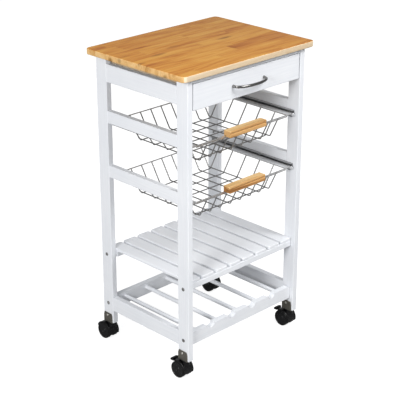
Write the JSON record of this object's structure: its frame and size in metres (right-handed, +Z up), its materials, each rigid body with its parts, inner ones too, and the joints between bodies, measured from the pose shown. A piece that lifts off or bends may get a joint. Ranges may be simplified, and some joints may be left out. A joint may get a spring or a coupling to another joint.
{
  "type": "rolling utility cart",
  "caption": "Painted timber kitchen cart on twin-wheel casters, with a wooden top, a drawer, sliding wire baskets, a slatted shelf and a bottle rack.",
  "frame": {"origin": "on the floor, in the middle of the whole cart's footprint, drawer handle and rear caster hoods included", "axes": "+X to the cart's right as seen from the front, +Y from the drawer side to the back, +Z up"},
  "size_m": [0.48, 0.3944, 0.85],
  "materials": {
    "white_paint": "satin white paint on timber",
    "top_wood": "clear satin lacquer on finger-jointed honey-coloured timber",
    "grip_wood": "clear satin lacquer",
    "raw_wood": "unfinished, planed",
    "chrome": "bright plated steel",
    "runner_steel": "zinc-plated folded sheet",
    "saddle_steel": "dull olive-grey passivated zinc",
    "black_nylon": "glossy black moulded nylon"
  },
  "bodies": {
    "frame": {"tabletop": "top_wood", "post_front_left": "white_paint", "post_front_right": "white_paint", "post_back_left": "white_paint", "post_back_right": "white_paint", "apron_left": "white_paint", "apron_right": "white_paint", "apron_back": "white_paint", "top_rail_front": "white_paint", "bottom_rail_left": "white_paint", "bottom_rail_right": "white_paint", "basket_rail_upper_left": "white_paint", "basket_rail_upper_right": "white_paint", "basket_rail_lower_left": "white_paint", "basket_rail_lower_right": "white_paint", "runner_upper_left": "runner_steel", "runner_upper_right": "runner_steel", "runner_lower_left": "runner_steel", "runner_lower_right": "runner_steel", "shelf_rail_front": "white_paint", "shelf_rail_back": "white_paint", "shelf_slat_1": "white_paint", "shelf_slat_2": "white_paint", "shelf_slat_3": "white_paint", "shelf_slat_4": "white_paint", "shelf_slat_5": "white_paint", "shelf_slat_6": "white_paint", "shelf_slat_7": "white_paint", "shelf_slat_8": "white_paint", "rack_rail_front": "white_paint", "rack_rail_back": "white_paint", "rack_dowel_1": "white_paint", "rack_dowel_2": "white_paint", "rack_dowel_3": "white_paint", "rack_dowel_4": "white_paint", "rack_dowel_5": "white_paint", "drawer_guide_left": "raw_wood", "drawer_guide_right": "raw_wood", "caster_front_left_bracket": "saddle_steel", "caster_front_right_bracket": "saddle_steel", "caster_back_left_bracket": "saddle_steel", "caster_back_right_bracket": "saddle_steel"},
    "drawer": {"drawer_front": "white_paint", "drawer_box": "raw_wood", "drawer_bottom": "raw_wood", "drawer_handle": "chrome"},
    "basket_upper": {"upper_basket": "chrome", "upper_basket_handle": "grip_wood"},
    "basket_lower": {"lower_basket": "chrome", "lower_basket_handle": "grip_wood"},
    "swivel_front_left": {"caster_front_left_housing": "black_nylon"},
    "wheels_front_left": {"caster_front_left_wheels": "black_nylon"},
    "brake_front_left": {"caster_front_left_brake_lever": "black_nylon"},
    "swivel_front_right": {"caster_front_right_housing": "black_nylon"},
    "wheels_front_right": {"caster_front_right_wheels": "black_nylon"},
    "brake_front_right": {"caster_front_right_brake_lever": "black_nylon"},
    "swivel_back_left": {"caster_back_left_housing": "black_nylon"},
    "wheels_back_left": {"caster_back_left_wheels": "black_nylon"},
    "swivel_back_right": {"caster_back_right_housing": "black_nylon"},
    "wheels_back_right": {"caster_back_right_wheels": "black_nylon"}
  },
  "joints": [
    {"name": "drawer_slide", "type": "slide", "parent": "frame", "child": "drawer", "axis": [0, -1, 0], "range_m": [0, 0.2]},
    {"name": "upper_basket_slide", "type": "slide", "parent": "frame", "child": "basket_upper", "axis": [0, -1, 0], "range_m": [0, 0.2]},
    {"name": "lower_basket_slide", "type": "slide", "parent": "frame", "child": "basket_lower", "axis": [0, -1, 0], "range_m": [0, 0.2]},
    {"name": "caster_front_left_swivel", "type": "hinge", "parent": "frame", "child": "swivel_front_left", "pos_m": [-0.2071, -0.14742, 0.0539], "axis": [0, 0, 1], "continuous": true},
    {"name": "caster_front_left_roll", "type": "hinge", "parent": "swivel_front_left", "child": "wheels_front_left", "pos_m": [-0.2071, -0.13242, 0.0237], "axis": [1, 0, 0], "continuous": true},
    {"name": "caster_front_left_brake", "type": "hinge", "parent": "swivel_front_left", "child": "brake_front_left", "pos_m": [-0.2071, -0.11642, 0.0385], "axis": [-1, 0, 0], "range_deg": [0, 16]},
    {"name": "caster_front_right_swivel", "type": "hinge", "parent": "frame", "child": "swivel_front_right", "pos_m": [0.2071, -0.14742, 0.0539], "axis": [0, 0, 1], "continuous": true},
    {"name": "caster_front_right_roll", "type": "hinge", "parent": "swivel_front_right", "child": "wheels_front_right", "pos_m": [0.2071, -0.13242, 0.0237], "axis": [1, 0, 0], "continuous": true},
    {"name": "caster_front_right_brake", "type": "hinge", "parent": "swivel_front_right", "child": "brake_front_right", "pos_m": [0.2071, -0.11642, 0.0385], "axis": [-1, 0, 0], "range_deg": [0, 16]},
    {"name": "caster_back_left_swivel", "type": "hinge", "parent": "frame", "child": "swivel_back_left", "pos_m": [-0.2071, 0.15638, 0.0539], "axis": [0, 0, 1], "continuous": true},
    {"name": "caster_back_left_roll", "type": "hinge", "parent": "swivel_back_left", "child": "wheels_back_left", "pos_m": [-0.2071, 0.17138, 0.0237], "axis": [1, 0, 0], "continuous": true},
    {"name": "caster_back_right_swivel", "type": "hinge", "parent": "frame", "child": "swivel_back_right", "pos_m": [0.2071, 0.15638, 0.0539], "axis": [0, 0, 1], "continuous": true},
    {"name": "caster_back_right_roll", "type": "hinge", "parent": "swivel_back_right", "child": "wheels_back_right", "pos_m": [0.2071, 0.17138, 0.0237], "axis": [1, 0, 0], "continuous": true}
  ]
}
